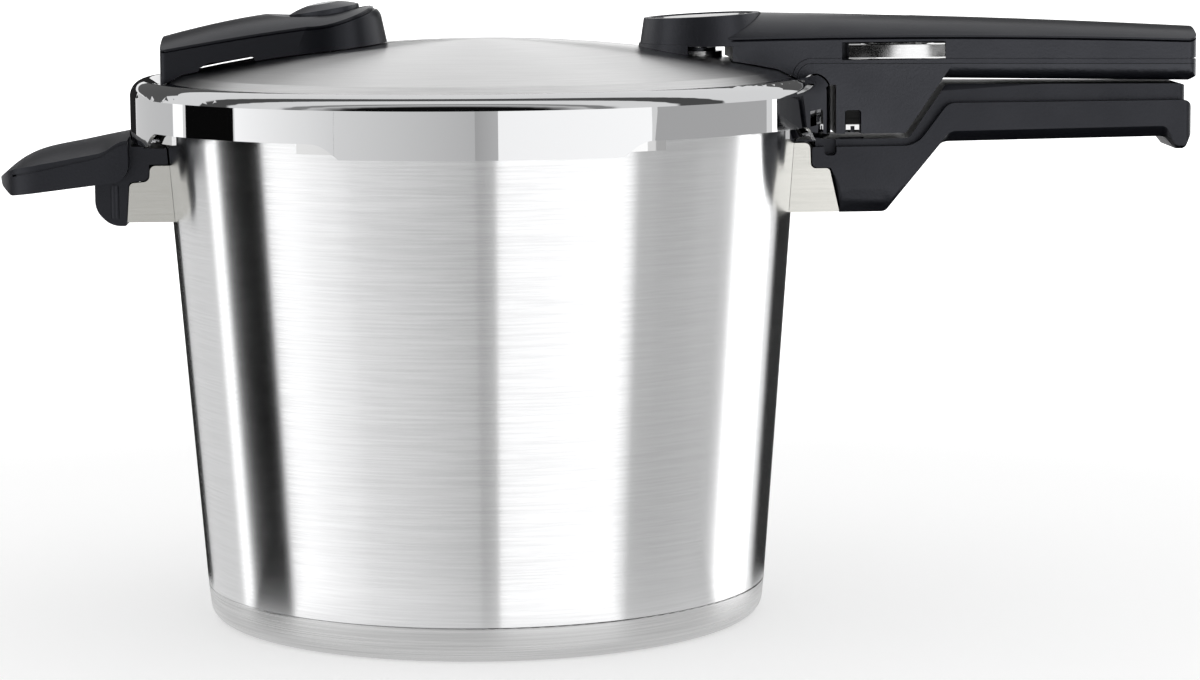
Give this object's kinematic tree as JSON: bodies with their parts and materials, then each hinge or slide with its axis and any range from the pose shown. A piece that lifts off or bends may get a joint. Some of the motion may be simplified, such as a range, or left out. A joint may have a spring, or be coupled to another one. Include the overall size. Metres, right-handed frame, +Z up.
{
  "type": "stovetop pressure cooker",
  "caption": "Tapered steel pot with capped base, bayonet lid with latched long handle, helper handle, rising pressure indicator and setting dial.",
  "frame": {"origin": "middle of the pot's flat underside", "axes": "+Z up, +X along the two long handles, the helper handle points along -X, the release slide is on the -Y side"},
  "size_m": [0.4146, 0.2434, 0.2148],
  "materials": {
    "pot_steel": "circumferentially brushed stainless steel",
    "base_steel": "satin stainless steel",
    "core_aluminium": "plain aluminium",
    "lid_steel": "satin dome, mirror-polished rim and skirt",
    "bright_steel": "bright steel",
    "guard_steel": "warm satin nickel steel",
    "handle_plastic": "fine-grained black plastic",
    "crown_plastic": "smoother satin black plastic",
    "seal_silicone": "pale grey silicone",
    "gasket_silicone": "grey silicone",
    "white_plastic": "pale plastic",
    "window_clear": "clear pane",
    "flag_green": "green"
  },
  "bodies": {
    "pot": {"pot_body": "pot_steel", "base_core": "core_aluminium", "base_cap": "base_steel", "pot_handle_bracket": "bright_steel", "pot_handle_flame_guard": "guard_steel", "pot_handle": "handle_plastic", "pot_handle_screw": "bright_steel", "helper_handle_bracket": "bright_steel", "helper_flame_guard": "guard_steel", "helper_handle": "handle_plastic", "helper_handle_screw": "bright_steel"},
    "lid": {"lid_shell": "lid_steel", "sealing_ring": "seal_silicone", "lid_handle_shell": "handle_plastic", "lid_handle_crown": "crown_plastic", "lid_handle_housing": "handle_plastic", "lid_handle_foot": "handle_plastic", "lid_handle_screw": "bright_steel", "lid_handle_washer": "bright_steel", "housing_screws": "bright_steel", "positioning_disc": "bright_steel", "indicator_window": "window_clear", "lock_spring": "bright_steel", "valve_cover": "handle_plastic", "valve_body": "white_plastic", "valve_gasket": "gasket_silicone", "valve_nut": "bright_steel", "start_valve_body": "white_plastic", "start_valve_gasket": "gasket_silicone"},
    "release_slide": {"release_slide": "bright_steel", "slide_carriage": "handle_plastic", "lock_flag": "flag_green"},
    "lock_bolt": {"lock_bolt": "bright_steel"},
    "setting_dial": {"valve_dial": "crown_plastic"},
    "pressure_indicator": {"valve_stem": "bright_steel", "pressure_cap": "crown_plastic"},
    "start_valve_pin": {"start_valve_pin": "bright_steel"}
  },
  "joints": [
    {"name": "lid_turn", "type": "hinge", "parent": "pot", "child": "lid", "pos_m": [0, 0, 0.176], "axis": [0, 0, -1], "range_deg": [0, 45]},
    {"name": "release_slide_travel", "type": "slide", "parent": "lid", "child": "release_slide", "axis": [-1, 0, 0], "range_m": [0, 0.002]},
    {"name": "lock_bolt_travel", "type": "slide", "parent": "lid", "child": "lock_bolt", "axis": [0, 0, -1], "range_m": [0, 0.004], "deforming": ["lock_spring"]},
    {"name": "setting_dial_turn", "type": "hinge", "parent": "lid", "child": "setting_dial", "pos_m": [-0.0523, 0, 0.1992], "axis": [-0.1564, 0, 0.9877], "range_deg": [0, 90]},
    {"name": "pressure_indicator_rise", "type": "slide", "parent": "lid", "child": "pressure_indicator", "axis": [-0.1564, 0, 0.9877], "range_m": [0, 0.004]},
    {"name": "start_valve_pin_rise", "type": "slide", "parent": "lid", "child": "start_valve_pin", "axis": [0, 0, 1], "range_m": [0, 0.002]}
  ],
  "couplings": [
    {"joint": "lock_bolt_travel", "follows": "release_slide_travel", "ratio": 2}
  ]
}
